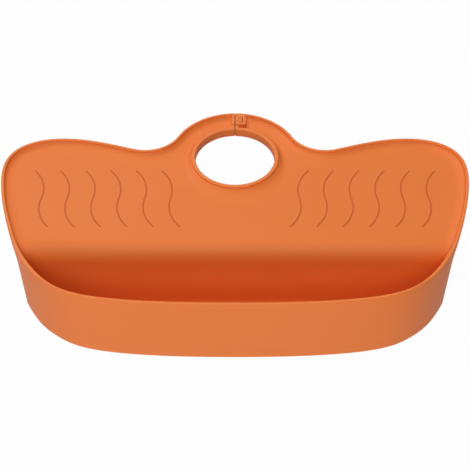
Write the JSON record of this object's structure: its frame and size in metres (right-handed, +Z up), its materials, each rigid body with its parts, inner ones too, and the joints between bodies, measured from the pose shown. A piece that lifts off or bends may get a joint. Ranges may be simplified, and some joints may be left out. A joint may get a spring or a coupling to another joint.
{
  "type": "sink splash guard mat",
  "caption": "Silicone splash mat with a split ring that closes round a faucet, raised rims, drain ribs and a pocket that hangs over the sink edge.",
  "frame": {"origin": "axis of the faucet opening, in the plane of the deck's underside, which lies on the counter", "axes": "+X to the right as seen from the front of the sink, along the mat's long side; +Y towards the wall behind the faucet, so -Y is over the sink; +Z up, along the faucet's axis"},
  "size_m": [0.302, 0.1683, 0.0554],
  "materials": {
    "silicone": "matt moulded silicone"
  },
  "bodies": {
    "mat": {"deck_panel": "silicone", "left_rim": "silicone", "right_rim": "silicone", "collar_front": "silicone", "sink_edge_bend": "silicone", "pocket_back_wall": "silicone", "pocket_front_wall": "silicone", "pocket_left_end": "silicone", "pocket_right_end": "silicone", "pocket_floor": "silicone", "left_rib_1": "silicone", "left_rib_2": "silicone", "left_rib_3": "silicone", "left_rib_4": "silicone", "left_rib_5": "silicone", "left_rib_6": "silicone", "right_rib_1": "silicone", "right_rib_2": "silicone", "right_rib_3": "silicone", "right_rib_4": "silicone", "right_rib_5": "silicone", "right_rib_6": "silicone"},
    "left_arm": {"left_ring_arm": "silicone", "clasp_hook": "silicone"},
    "right_arm": {"right_ring_arm": "silicone", "clasp_keeper": "silicone"}
  },
  "joints": [
    {"name": "left_arm_lift", "type": "hinge", "parent": "mat", "child": "left_arm", "pos_m": [-0.02979, 0.0172, 0.0062], "axis": [0.866, -0.5, 0], "range_deg": [0, 90], "stiffness_Nm_per_rad": 0.006},
    {"name": "right_arm_lift", "type": "hinge", "parent": "mat", "child": "right_arm", "pos_m": [0.02979, 0.0172, 0.0062], "axis": [0.866, 0.5, 0], "range_deg": [0, 90], "stiffness_Nm_per_rad": 0.006}
  ]
}
